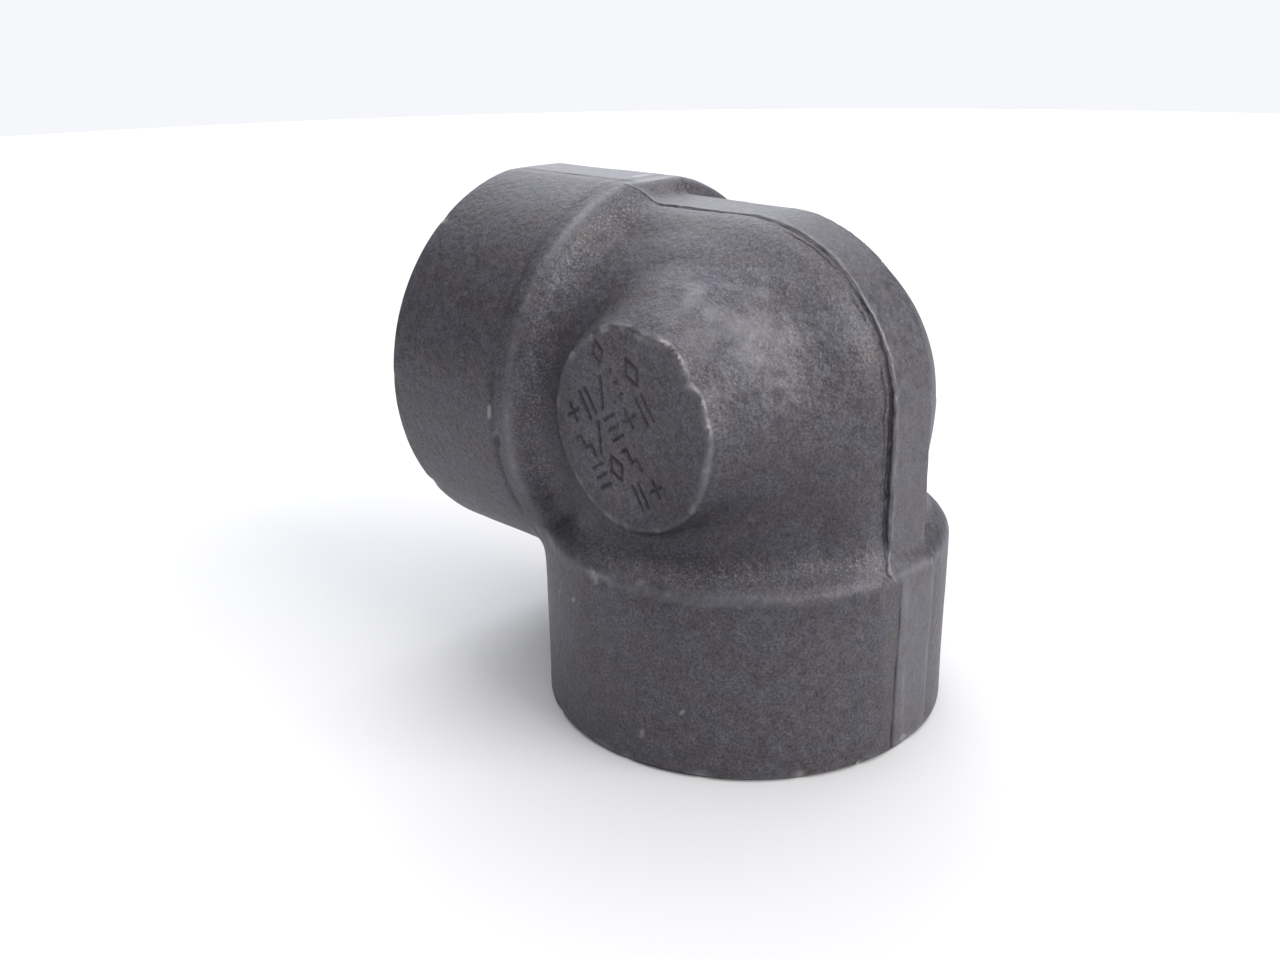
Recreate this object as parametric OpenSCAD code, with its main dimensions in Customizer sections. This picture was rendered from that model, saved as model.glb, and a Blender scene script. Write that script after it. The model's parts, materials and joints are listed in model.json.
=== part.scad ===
// Forged steel 90 degree pipe elbow, socket-weld, nominal size 1 inch, class 3000.
// The whole fitting is one forging, bored from both ends. Millimetres, +Z up.
// The origin is the centre of the lower end face. The lower socket's axis is Z, and the
// upper socket's axis runs along X at the height centre_to_end, with its mouth facing -X.
// The forging dies part on the plane Y = 0, and the bend lies in that plane.

/* [Ends] */
// Outside diameter of the round band at each end
band_d = 46; // [45:0.5:48]
// Straight side of a band, from its face to where the shoulder starts to round
band_len = 20; // [18:0.5:20.5]
// Distance from the corner where the two axes meet to each end face
centre_to_end = 34.9; // [34.5:0.1:37]
// Radius of the round on a band's shoulder
shoulder_r = 1.5; // [1:0.1:1.8]
// Small bevel on the outer edge of each end face
outer_bevel = 0.4; // [0.2:0.1:0.8]

/* [Sockets and waterway] */
// Bore of the socket that takes the pipe
socket_d = 34.1; // [33.9:0.1:34.3]
// Depth of the socket, from the end face to the ledge that the pipe faces
socket_depth = 12.7; // [12.5:0.1:14]
// Bore of the waterway behind the ledge
water_d = 26.6; // [25.9:0.1:27.4]

/* [Bend] */
// Diameter of the body between the two bands, and of the ball at the heel
body_d = 40; // [39:0.2:40.4]
// How far the heel's ball sits behind the lower axis
heel_back = 0.7; // [0:0.1:1.2]
// How far the heel's ball sits above the upper axis
heel_up = 0.6; // [0:0.1:0.8]

/* [Parting line] */
// Width of the trimmed flash strip that runs round the outside of the bend
strip_w = 6.6; // [5:0.2:8]
// Distance of the strip's flat from the lower axis, on the back of the bend
strip_back = 21.6; // [20.8:0.1:22]
// Distance of the strip's flat from the upper axis, on top of the bend
strip_top = 20.8; // [20.6:0.1:21.4]
// Radius of the strip's turn round the heel
strip_turn_r = 18.8; // [17:0.1:19]
// How much the trimmed flat takes off a band's round side
flat_cut = 0.3; // [0.2:0.05:0.5]

/* [Marking pads] */
// Diameter of the flat round pad that carries the marks, on the -Y side
pad_d = 21.4; // [19:0.2:22]
// Distance of the marked pad's flat from the parting plane
pad_reach = 20.4; // [20.3:0.1:21]
// Diameter of the smaller plain pad on the +Y side
plain_pad_d = 17; // [14:0.5:18]
// Distance of the plain pad's flat from the parting plane
plain_pad_reach = 20.2; // [20.1:0.1:20.4]
// Slope of a pad's side, in degrees from straight
pad_draft = 22; // [10:1:24]
// How far a pad's centre lies outwards from the corner, along the bend's bisector
pad_shift = 2.4; // [0:0.2:3]

/* [Hidden] */
$fn = 128;
band_r = band_d / 2;
body_r = body_d / 2;
socket_r = socket_d / 2;
water_r = water_d / 2;
pad_r = pad_d / 2;
plain_pad_r = plain_pad_d / 2;
// The shoulder's drop from band to body is one round out and one round in
hollow_r = band_r - shoulder_r - body_r;
shoulder_top = band_len + shoulder_r;
// Height of a pad's side, enough to reach into the body all round
pad_h = 9;
// Overrun of a cutting shape past the surface that it cuts
over = 1;

// Puts a shape that is drawn round the lower axis onto the upper axis
module on_upper_axis() {
    translate([-centre_to_end, 0, centre_to_end]) rotate([0, 90, 0]) children();
}

// Half outline of one arm: bevelled band, rounded shoulder, hollow and body
module arm_outline() {
    polygon([
        [0, 0], [band_r - outer_bevel, 0], [band_r, outer_bevel], [band_r, band_len],
        [band_r - shoulder_r, band_len], [band_r - shoulder_r, shoulder_top],
        [body_r, shoulder_top], [body_r, centre_to_end], [0, centre_to_end],
    ]);
    intersection() {
        translate([band_r - shoulder_r, band_len]) circle(shoulder_r);
        translate([band_r - shoulder_r, band_len]) square(shoulder_r);
    }
    difference() {
        translate([body_r, shoulder_top]) square(hollow_r);
        translate([body_r + hollow_r, shoulder_top + hollow_r]) circle(hollow_r);
    }
}

// One arm of the forging before boring, with its band trimmed flat on the parting line
module arm() {
    flat_at = band_r - flat_cut;
    difference() {
        rotate_extrude() arm_outline();
        for (side = [-1, 1])
            translate([side * (flat_at + band_r / 2), 0, centre_to_end / 2])
                cube([band_r, band_d, centre_to_end + over], center = true);
    }
}

// The rounded heel, a ball set back from the corner
module heel() {
    translate([heel_back, 0, centre_to_end + heel_up]) sphere(body_r);
}

// The strip of trimmed flash: straight up the back, round the heel and along the top
module flash_strip() {
    turn_x = strip_back - strip_turn_r;
    turn_z = centre_to_end + strip_top - strip_turn_r;
    rotate([90, 0, 0]) linear_extrude(strip_w, center = true) {
        translate([0, band_len]) square([strip_back, turn_z - band_len]);
        translate([band_len - centre_to_end, centre_to_end])
            square([centre_to_end - band_len + turn_x, strip_top]);
        translate([turn_x, turn_z]) circle(strip_turn_r);
    }
}

// A flat round pad with drafted sides, on the -Y side or the +Y side of the bend
module pad(side, radius, reach) {
    shift = pad_shift / sqrt(2);
    translate([shift, side * (reach - pad_h), centre_to_end + shift])
        rotate([-90 * side, 0, 0])
            cylinder(h = pad_h, r1 = radius + pad_h * tan(pad_draft), r2 = radius);
}

// Half outline of what is bored out from one end: the socket and the waterway
module bore_outline() {
    translate([0, -over]) square([socket_r, socket_depth + over]);
    square([water_r, centre_to_end]);
}

// Both bores, and the ball-shaped end where they meet
module waterway() {
    rotate_extrude() bore_outline();
    on_upper_axis() rotate_extrude() bore_outline();
    translate([0, 0, centre_to_end]) sphere(water_r);
}

module elbow_body() {
    color([0.29, 0.28, 0.29]) difference() {
        union() {
            arm();
            on_upper_axis() arm();
            heel();
            flash_strip();
            pad(-1, pad_r, pad_reach);
            pad(1, plain_pad_r, plain_pad_reach);
        }
        waterway();
    }
}

elbow_body();
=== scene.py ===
"""Forged steel socket weld elbow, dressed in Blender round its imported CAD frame.

Lengths in the classes are millimetres in the CAD frame: the origin is the middle of the lower
mouth, +Z runs up the lower arm and the upper mouth faces -X. Meshes are written in metres.
"""

import itertools
import json
import logging
import math
from dataclasses import dataclass, field
from enum import Enum
from typing import Any, Callable, Dict, List, Optional, Tuple

import bpy
import numpy as np
from mathutils import Matrix, Vector

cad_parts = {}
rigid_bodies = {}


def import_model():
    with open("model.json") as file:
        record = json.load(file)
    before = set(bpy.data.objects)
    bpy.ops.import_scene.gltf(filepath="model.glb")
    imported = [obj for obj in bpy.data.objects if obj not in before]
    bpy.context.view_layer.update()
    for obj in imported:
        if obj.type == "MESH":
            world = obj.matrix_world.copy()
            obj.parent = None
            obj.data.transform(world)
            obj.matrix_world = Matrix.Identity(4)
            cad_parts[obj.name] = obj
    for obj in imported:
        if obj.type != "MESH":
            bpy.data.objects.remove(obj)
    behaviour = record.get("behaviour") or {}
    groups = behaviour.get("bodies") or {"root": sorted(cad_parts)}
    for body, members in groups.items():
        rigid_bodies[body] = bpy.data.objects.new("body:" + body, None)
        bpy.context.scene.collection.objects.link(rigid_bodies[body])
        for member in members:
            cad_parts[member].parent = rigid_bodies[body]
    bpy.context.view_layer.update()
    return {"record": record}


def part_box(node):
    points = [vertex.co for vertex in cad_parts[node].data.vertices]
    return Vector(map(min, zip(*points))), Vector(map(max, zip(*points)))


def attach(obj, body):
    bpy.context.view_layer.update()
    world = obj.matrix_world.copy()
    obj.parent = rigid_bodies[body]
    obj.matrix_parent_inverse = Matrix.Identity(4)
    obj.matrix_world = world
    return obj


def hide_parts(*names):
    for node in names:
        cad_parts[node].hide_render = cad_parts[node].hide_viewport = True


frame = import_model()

LOG = logging.getLogger("elbow")
MM = 0.001
Point = Tuple[float, float, float]
Profile = List[Tuple[float, float]]
Socket = bpy.types.NodeSocket
BOX_CLEARANCE = 0.002  # how far the skin stays inside the frame's box


# ---------------------------------------------------------------- small tools


def linear(hex_colour: str) -> Tuple[float, float, float, float]:
    """Turns an sRGB hex colour into linear RGBA.

    Args:
        hex_colour: six hex digits, such as "4b484b".

    Returns:
        Linear red, green, blue and an alpha of one.
    """
    values = []
    for start in (0, 2, 4):
        c = int(hex_colour[start : start + 2], 16) / 255
        values.append(c / 12.92 if c <= 0.04045 else ((c + 0.055) / 1.055) ** 2.4)
    return (values[0], values[1], values[2], 1.0)


def add_node(
    tree: bpy.types.NodeTree,
    kind: str,
    settings: Optional[Dict[Any, Any]] = None,
    links: Optional[Dict[Any, bpy.types.NodeSocket]] = None,
) -> bpy.types.Node:
    """Adds one node with its settings and links.

    Args:
        tree: the node tree to add to.
        kind: the node's type, such as "ShaderNodeBump".
        settings: values by property name, or by the name or number of an input.
        links: sockets to link in, by the name or number of the input.

    Returns:
        The new node.
    """
    node = tree.nodes.new(kind)
    for key, value in (settings or {}).items():
        if isinstance(key, str) and key in node.bl_rna.properties:
            setattr(node, key, value)
        else:
            node.inputs[key].default_value = value
    for key, socket in (links or {}).items():
        tree.links.new(socket, node.inputs[key])
    return node


def noise(points: np.ndarray, cell: float, seed: int) -> np.ndarray:
    """Smooth lattice noise, the same on each run.

    Args:
        points: N rows of x, y, z in millimetres.
        cell: the size of one bump in millimetres.
        seed: picks another field of bumps.

    Returns:
        N values from -1 to 1.
    """
    grid = points / cell + seed * 17.31
    base = np.floor(grid).astype(np.int64)
    part = grid - base
    part = part * part * (3 - 2 * part)
    total = np.zeros(len(points))
    for corner in itertools.product((0, 1), repeat=3):
        node = base + np.array(corner)
        mixed = node[:, 0] * 374761393 + node[:, 1] * 668265263 + node[:, 2] * 1442695041
        mixed = (mixed + seed * 97531) & 0xFFFFFFFF
        mixed = ((mixed ^ (mixed >> 13)) * 1274126177) & 0xFFFFFFFF
        value = ((mixed ^ (mixed >> 16)) & 0xFFFF) / 32767.5 - 1
        weight = np.ones(len(points))
        for axis in range(3):
            weight = weight * (part[:, axis] if corner[axis] else 1 - part[:, axis])
        total += weight * value
    return total


def smooth_min(a: np.ndarray, b: np.ndarray, width: Any) -> np.ndarray:
    """Joins two distance fields with a fillet.

    Args:
        a: the first field.
        b: the second field.
        width: how wide the fillet blends, in millimetres.

    Returns:
        The joined field.
    """
    share = np.clip(0.5 + 0.5 * (b - a) / width, 0, 1)
    return b * (1 - share) + a * share - width * share * (1 - share)


def smooth_max(a: np.ndarray, b: np.ndarray, width: Any) -> np.ndarray:
    """Keeps what is in both distance fields, with the edge rounded over width."""
    return -smooth_min(-a, -b, width)


def ramp(value: np.ndarray, start: float, end: float) -> np.ndarray:
    """Rises smoothly from 0 at start to 1 at end."""
    share = np.clip((value - start) / (end - start), 0, 1)
    return share * share * (3 - 2 * share)


def hump(value: np.ndarray, centre: Any, width: Any) -> np.ndarray:
    """A bell of height one and that half width round centre."""
    return np.exp(-(((value - centre) / width) ** 2))


def coordinates(mesh: bpy.types.Mesh) -> np.ndarray:
    """The mesh's vertices in millimetres, one row each.

    Args:
        mesh: the mesh to read.

    Returns:
        Rows of x, y, z.
    """
    flat = np.empty(len(mesh.vertices) * 3)
    mesh.vertices.foreach_get("co", flat)
    return flat.reshape(-1, 3) / MM


def put_coordinates(mesh: bpy.types.Mesh, points: np.ndarray) -> None:
    """Moves the mesh's vertices to points, in millimetres."""
    mesh.vertices.foreach_set("co", (points * MM).ravel())
    mesh.update()


def vertex_normals(mesh: bpy.types.Mesh) -> np.ndarray:
    """The mesh's vertex normals, one row each.

    Args:
        mesh: the mesh to read.

    Returns:
        Rows of unit vectors.
    """
    flat = np.empty(len(mesh.vertices) * 3)
    mesh.vertices.foreach_get("normal", flat)
    return flat.reshape(-1, 3)


def select_only(obj: bpy.types.Object) -> None:
    """Makes obj the only selected object, and the active one.

    Args:
        obj: the object to select.
    """
    bpy.ops.object.select_all(action="DESELECT")
    obj.select_set(True)
    bpy.context.view_layer.objects.active = obj


def edit(obj: bpy.types.Object, pick: str = "VERT") -> None:
    """Opens obj in edit mode with nothing else selected, to pick "VERT" or "FACE".

    Args:
        obj: the object to open.
        pick: what is picked, "VERT" or "FACE".
    """
    select_only(obj)
    bpy.ops.object.mode_set(mode="EDIT")
    bpy.ops.mesh.select_mode(type=pick)


def edit_all(obj: bpy.types.Object) -> None:
    """Opens obj in edit mode with all of it selected."""
    edit(obj)
    bpy.ops.mesh.select_all(action="SELECT")


def face_middles(mesh: bpy.types.Mesh) -> np.ndarray:
    """The middles of the mesh's faces in millimetres, one row each.

    Args:
        mesh: the mesh to read.

    Returns:
        Rows of x, y, z.
    """
    flat = np.empty(len(mesh.polygons) * 3)
    mesh.polygons.foreach_get("center", flat)
    return flat.reshape(-1, 3) / MM


def store(mesh: bpy.types.Mesh, name: str, values: np.ndarray) -> None:
    """Stores one number for each vertex as an attribute of that name."""
    attribute = mesh.attributes.new(name, "FLOAT", "POINT")
    attribute.data.foreach_set("value", values.astype(np.float32))


def distance_to(points: np.ndarray, place: Point) -> np.ndarray:
    """How far each point is from a place, in millimetres."""
    return np.linalg.norm(points - np.array(place), axis=1)


def finish_edit() -> None:
    """Goes back to object mode."""
    bpy.ops.object.mode_set(mode="OBJECT")


def apply_modifier(obj: bpy.types.Object, kind: str, **settings: Any) -> None:
    """Adds a modifier to obj and applies it.

    Args:
        obj: the object to change.
        kind: the modifier's type, such as "BOOLEAN".
        **settings: the modifier's properties by name.
    """
    select_only(obj)
    modifier = obj.modifiers.new(kind.title(), kind)
    for name, value in settings.items():
        setattr(modifier, name, value)
    bpy.ops.object.modifier_apply(modifier=modifier.name)


def lathe(name: str, profile: Profile, origin: Point, upright: bool, steps: int) -> bpy.types.Object:
    """Spins a closed solid from a profile, as on a lathe.

    Args:
        name: the object's name.
        profile: radius and place along the axis, in millimetres, from axis to axis.
        origin: where the axis starts, in millimetres.
        upright: whether the axis is +Z; otherwise it is +X.
        steps: how many facets go round.

    Returns:
        The new object, at the origin and unturned.
    """

    def place(radius: float, along: float) -> Vector:
        """The point of the profile's plane in metres."""
        if upright:
            return Vector((origin[0] + radius, origin[1], origin[2] + along)) * MM
        return Vector((origin[0] + along, origin[1], origin[2] + radius)) * MM

    bpy.ops.object.select_all(action="DESELECT")
    bpy.ops.mesh.primitive_plane_add(size=MM, location=(0, 0, 0))
    obj = bpy.context.active_object
    obj.name = name
    edit(obj)
    bpy.ops.mesh.select_all(action="SELECT")
    bpy.ops.mesh.merge(type="CENTER")
    here = place(*profile[0])
    bpy.ops.transform.translate(value=here)
    for radius, along in profile[1:]:
        there = place(radius, along)
        bpy.ops.mesh.extrude_vertices_move(TRANSFORM_OT_translate={"value": there - here})
        here = there
    bpy.ops.mesh.select_all(action="SELECT")
    bpy.ops.mesh.spin(
        steps=steps,
        angle=2 * math.pi,
        center=Vector(origin) * MM,
        axis=(0, 0, 1) if upright else (1, 0, 0),
    )
    bpy.ops.mesh.select_all(action="SELECT")
    bpy.ops.mesh.remove_doubles(threshold=1e-6)
    bpy.ops.mesh.normals_make_consistent(inside=False)
    finish_edit()
    return obj


# ---------------------------------------------------------------- finishes


class FinishNodes:
    """A finish being built: its material, and nodes laid out by Object coordinates."""

    def __init__(self, name: str) -> None:
        """Starts an empty material of that name.

        Args:
            name: the material's name.
        """
        self.material = bpy.data.materials.new(name)
        self.material.use_nodes = True
        self.tree = self.material.node_tree
        self.tree.nodes.clear()
        self.place = add_node(self.tree, "ShaderNodeTexCoord").outputs["Object"]

    def mask(self, name: str) -> Socket:
        """The value that the mesh holds under that attribute name."""
        return add_node(self.tree, "ShaderNodeAttribute", {"attribute_name": name}).outputs["Fac"]

    def clouds(self, cell_mm: float, detail: float, roughness: float = 0.5) -> Socket:
        """Noise whose bumps have a real size in millimetres."""
        settings = {"Scale": 1 / (cell_mm * MM), "Detail": detail, "Roughness": roughness}
        return add_node(self.tree, "ShaderNodeTexNoise", settings, {"Vector": self.place}).outputs["Fac"]

    def pits(self, cell_mm: float) -> Socket:
        """Round dimples whose spacing has a real size in millimetres.

        Args:
            cell_mm: the spacing of the dimples.

        Returns:
            The distance to the nearest dimple.
        """
        settings = {"Scale": 1 / (cell_mm * MM), "feature": "SMOOTH_F1", "Smoothness": 0.6}
        node = add_node(self.tree, "ShaderNodeTexVoronoi", settings, {"Vector": self.place})
        return node.outputs["Distance"]

    def rescale(
        self, value: Socket, low: float, high: float, to_low: float = 0.0, to_high: float = 1.0
    ) -> Socket:
        """Maps low to high onto to_low to to_high, and holds the ends."""
        settings = {"From Min": low, "From Max": high, "To Min": to_low, "To Max": to_high}
        return add_node(self.tree, "ShaderNodeMapRange", settings, {"Value": value}).outputs["Result"]

    def math(self, operation: str, *values: Any, clamp: bool = False) -> Socket:
        """Does one sum on sockets and plain numbers.

        Args:
            operation: the sum, such as "MULTIPLY".
            *values: its terms in order, each a socket or a number.
            clamp: whether the result is held between 0 and 1.

        Returns:
            The result.
        """
        settings: Dict[Any, Any] = {"operation": operation, "use_clamp": clamp}
        links = {}
        for slot, value in enumerate(values):
            if isinstance(value, float):
                settings[slot] = value
            else:
                links[slot] = value
        return add_node(self.tree, "ShaderNodeMath", settings, links).outputs[0]

    def mix(self, share: Socket, first: Any, second: Any) -> Socket:
        """Mixes two colours.

        Args:
            share: how much of the second colour shows.
            first: a socket or an sRGB hex colour.
            second: a socket or an sRGB hex colour.

        Returns:
            The mixed colour.
        """
        settings: Dict[Any, Any] = {"data_type": "RGBA"}
        links = {0: share}
        for slot, colour in ((6, first), (7, second)):
            if isinstance(colour, str):
                settings[slot] = linear(colour)
            else:
                links[slot] = colour
        return add_node(self.tree, "ShaderNodeMix", settings, links).outputs[2]

    def shade(self, settings: Dict[str, float], links: Dict[str, Socket]) -> bpy.types.Material:
        """Ends the finish in its shader and hands over the material.

        Args:
            settings: the shader's plain values.
            links: the sockets that drive it.

        Returns:
            The finished material.
        """
        shader = add_node(self.tree, "ShaderNodeBsdfPrincipled", settings, links)
        add_node(self.tree, "ShaderNodeOutputMaterial", links={"Surface": shader.outputs["BSDF"]})
        return self.material


@dataclass(frozen=True)
class ForgedSkin:
    """Carbon steel, closed-die forged, normalised and shot blasted.

    The eye gets a dark grey, half matte skin with a fine even grain, faint blue and brown
    heat tints, paler satin where the die or handling has worn it, and black in the cracks.
    Painted highlights lie on the shoulder ridges, the lit side of the pad's rim and the bend,
    painted glints in the shoulders' hollows and on the bend, and painted shade in the hollows
    round the pad, the inner corner, the shoulder grooves and the deep dents.
    """

    name: str = "forged_carbon_steel_shot_blasted"
    cold: str = "505059"
    warm: str = "504b4d"
    # paler colour of the wear, also of the painted highlights on the ridges, the rim and the bend
    pale: str = "77767c"
    # the black of the cracks and stamps, also the painted shade in the hollows, grooves and deep dents
    black_and_shade_hex: str = "1d1c1f"
    # bare metal of the chips, also the painted glints in the shoulders' hollows and on the bend
    bright: str = "a9a6a4"
    patch_mm: float = 4.5
    mottle_mm: float = 1.3
    grain_mm: float = 0.27
    pit_mm: float = 0.8
    grain_lift_mm: float = 0.05
    pit_depth_mm: float = 0.07

    def material(self) -> bpy.types.Material:
        """Builds the finish from its colours and real grain sizes.

        Returns:
            The new material.
        """
        nodes = FinishNodes(self.name)
        mottle = nodes.clouds(self.mottle_mm, 4.0, 0.65)
        grain = nodes.clouds(self.grain_mm, 2.0, 0.7)
        # worn skin with painted highlights, and black with painted shade, read from the mesh's
        # attributes
        wear_and_sheen, black_and_shade = nodes.mask("wear_and_sheen"), nodes.mask("black_and_shade")
        wear_sheen_share = nodes.math("MULTIPLY", wear_and_sheen, nodes.rescale(mottle, 0.25, 0.7, 0.45, 1.0))
        rough = nodes.rescale(mottle, 0.3, 0.7, 0.4, 0.56)
        smoother = nodes.math("MULTIPLY_ADD", wear_sheen_share, -0.1, rough)
        return nodes.shade(
            {"Metallic": 0.55},
            {
                "Base Color": self.colour(nodes, mottle, grain, wear_sheen_share, black_and_shade),
                "Roughness": nodes.math("MULTIPLY_ADD", black_and_shade, 0.3, smoother, clamp=True),
                "Normal": self.texture(nodes, grain, wear_and_sheen),
            },
        )

    def colour(
        self, nodes: FinishNodes, mottle: Socket, grain: Socket, wear_sheen_share: Socket, black_and_shade: Socket
    ) -> Socket:
        """Lays the heat tints, then wear with painted highlights, bare metal with painted glints, and
        black with painted shade over them.

        Args:
            nodes: the finish being built.
            mottle: the middle-sized noise.
            grain: the finest noise.
            wear_sheen_share: where the skin is worn, and where highlights are painted.
            black_and_shade: where it is black, and where shade is painted.

        Returns:
            The skin's colour.
        """
        patches = nodes.clouds(self.patch_mm, 3.0, 0.6)
        tone = nodes.mix(nodes.rescale(patches, 0.27, 0.73), self.warm, self.cold)
        freckle = nodes.rescale(mottle, 0.3, 0.7, 0.74, 1.28)
        speck = nodes.rescale(grain, 0.3, 0.72, 0.52, 1.52)
        depth = nodes.math("MULTIPLY", freckle, speck)
        scaled = {"operation": "SCALE"}
        skin = add_node(nodes.tree, "ShaderNodeVectorMath", scaled, {0: tone, "Scale": depth})
        # wear and painted highlights, in the paler colour
        worn = nodes.mix(wear_sheen_share, skin.outputs[0], self.pale)
        # painted glints: the finest grain's peaks made bright in the shoulders' hollows and on the bend
        glint = nodes.rescale(grain, 0.56, 0.74, 0.0, 0.35)
        sparkle = nodes.math("MULTIPLY", glint, nodes.mask("painted_glints"), clamp=True)
        bare = nodes.math("MAXIMUM", sparkle, nodes.mask("chipped"))
        # black in the cracks and stamps, and painted shade in the hollows, grooves and deep dents
        return nodes.mix(black_and_shade, nodes.mix(bare, worn, self.bright), self.black_and_shade_hex)

    def texture(self, nodes: FinishNodes, grain: Socket, wear_and_sheen: Socket) -> Socket:
        """Peens the surface with shot marks and grain, less where it is worn and where highlights are
        painted.

        Args:
            nodes: the finish being built.
            grain: the finest noise.
            wear_and_sheen: where the skin is worn, and where highlights are painted.

        Returns:
            The bent normal.
        """
        calm = nodes.rescale(wear_and_sheen, 0.0, 1.0, 1.0, 0.75)
        dimples = add_node(
            nodes.tree,
            "ShaderNodeBump",
            {"Distance": self.pit_depth_mm * MM},
            {"Height": nodes.pits(self.pit_mm), "Strength": calm},
        )
        peened = add_node(
            nodes.tree,
            "ShaderNodeBump",
            {"Distance": self.grain_lift_mm * MM},
            {"Height": grain, "Normal": dimples.outputs["Normal"], "Strength": calm},
        )
        return peened.outputs["Normal"]


@dataclass(frozen=True)
class TurnedSteel:
    """The same steel where the tool has faced and bored it.

    The eye gets a grey satin metal under a thin film of oil, with fine rings at the pitch of
    the tool's feed.
    """

    name: str = "turned_carbon_steel_oiled"
    metal: str = "8b8a8c"
    film: str = "5d5a58"
    stain_mm: float = 6.0
    feed_mm: float = 0.35
    groove_mm: float = 0.01

    def material(self) -> bpy.types.Material:
        """Builds the finish from its colours and the tool's feed.

        Returns:
            The new material.
        """
        nodes = FinishNodes(self.name)
        stain = nodes.clouds(self.stain_mm, 5.0, 0.6)
        turns = nodes.math("MULTIPLY", nodes.mask("tool_path"), 2 * math.pi / self.feed_mm)
        grooves = add_node(
            nodes.tree,
            "ShaderNodeBump",
            {"Distance": self.groove_mm * MM, "Strength": 0.6},
            {"Height": nodes.math("SINE", turns)},
        )
        return nodes.shade(
            {"Metallic": 1.0},
            {
                "Base Color": nodes.mix(stain, self.film, self.metal),
                "Roughness": nodes.rescale(stain, 0.0, 1.0, 0.3, 0.45),
                "Normal": grooves.outputs["Normal"],
            },
        )


@dataclass(frozen=True)
class PaintedBoard:
    """White emulsion on board, which gives the eye a flat pale ground with no gloss."""

    name: str = "painted_board"
    white: str = "dededf"
    shadowed: str = "d6d6da"
    cloud_mm: float = 60.0

    def material(self) -> bpy.types.Material:
        """Builds the finish, with the faint clouds of a rolled coat.

        Returns:
            The new material.
        """
        nodes = FinishNodes(self.name)
        colour = nodes.mix(nodes.clouds(self.cloud_mm, 2.0), self.white, self.shadowed)
        return nodes.shade({"Roughness": 0.8, "Specular IOR Level": 0.2}, {"Base Color": colour})


# ---------------------------------------------------------------- the forging


class Arm(Enum):
    """The two arms of the elbow."""

    LOWER = "lower"
    UPPER = "upper"


class Mark(Enum):
    """Plain stamp marks, each a few strokes in a cell one high and 0.7 wide."""

    TWIN_BARS = (((0.15, 0.0), (0.15, 1.0)), ((0.5, 0.0), (0.5, 1.0)))
    RUNGS = (((0.05, 0.1), (0.6, 0.1)), ((0.05, 0.5), (0.6, 0.5)), ((0.05, 0.9), (0.6, 0.9)))
    DIAMOND = (
        ((0.32, 0.0), (0.62, 0.5)),
        ((0.62, 0.5), (0.32, 1.0)),
        ((0.32, 1.0), (0.02, 0.5)),
        ((0.02, 0.5), (0.32, 0.0)),
    )
    SLASH = (((0.05, 0.0), (0.6, 1.0)),)
    PLUS = (((0.32, 0.15), (0.32, 0.85)), ((0.0, 0.5), (0.64, 0.5)))
    STEPS = (
        ((0.05, 0.95), (0.3, 0.95)),
        ((0.3, 0.95), (0.3, 0.45)),
        ((0.3, 0.45), (0.62, 0.45)),
        ((0.62, 0.45), (0.62, 0.0)),
    )
    DOTS = (((0.3, 0.05), (0.34, 0.05)), ((0.3, 0.5), (0.34, 0.5)), ((0.3, 0.95), (0.34, 0.95)))


@dataclass(frozen=True)
class StampRow:
    """One slanted row of marks on the pad, from its first mark's foot."""

    start: Tuple[float, float]
    slant_deg: float
    height: float
    pitch: float
    marks: Tuple[Mark, ...]


@dataclass(frozen=True)
class Dent:
    """A nick or chip: where it is, how wide, how deep, and whether it shows bare metal."""

    place: Point
    reach: float
    depth: float
    bare: float = 0.0
    stretch: Point = (0.0, 0.0, 0.0)


@dataclass(frozen=True)
class Seam:
    """One trimming line along a band, from its mouth to its shoulder, cut in or raised."""

    arm: Arm
    mouth_y: float
    shoulder_y: float
    width: float
    strength: float
    cut: bool


SEAMS = (
    Seam(Arm.LOWER, -1.9, -1.6, 0.2, 1.3, True),
    Seam(Arm.LOWER, 0.1, -0.5, 0.2, 0.7, False),
    Seam(Arm.LOWER, 4.2, 4.3, 0.14, 1.0, False),
    Seam(Arm.UPPER, -2.1, -2.3, 0.15, 1.0, True),
    Seam(Arm.UPPER, 3.9, 4.1, 0.14, 0.8, False),
)


# bearing in degrees, half width in degrees, how far the rim stands out in millimetres
RIM_BUMPS = (
    (78, 9, -0.75),
    (57, 9, 0.95),
    (38, 5, -0.5),
    (28, 9, 0.6),
    (8, 9, 0.6),
    (125, 28, -0.45),
    (-40, 10, 0.2),
)
# where a highlight is painted on the bend between pad and heel: place, reach and strength
PAINTED_SHEEN_SPOTS = (((11.5, -12.5, 48.0), 6.0, 1.0), ((7.0, -15.0, 50.0), 4.5, 0.8))
# painted shade at the dark foot of the pad's flank: place and reach
PAINTED_SHADE_ROOT = (14.4, -13.4, 41.0)  # the speckled foot of the pad's flank
PAINTED_SHADE_ROOT_REACH = 3.2


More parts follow.
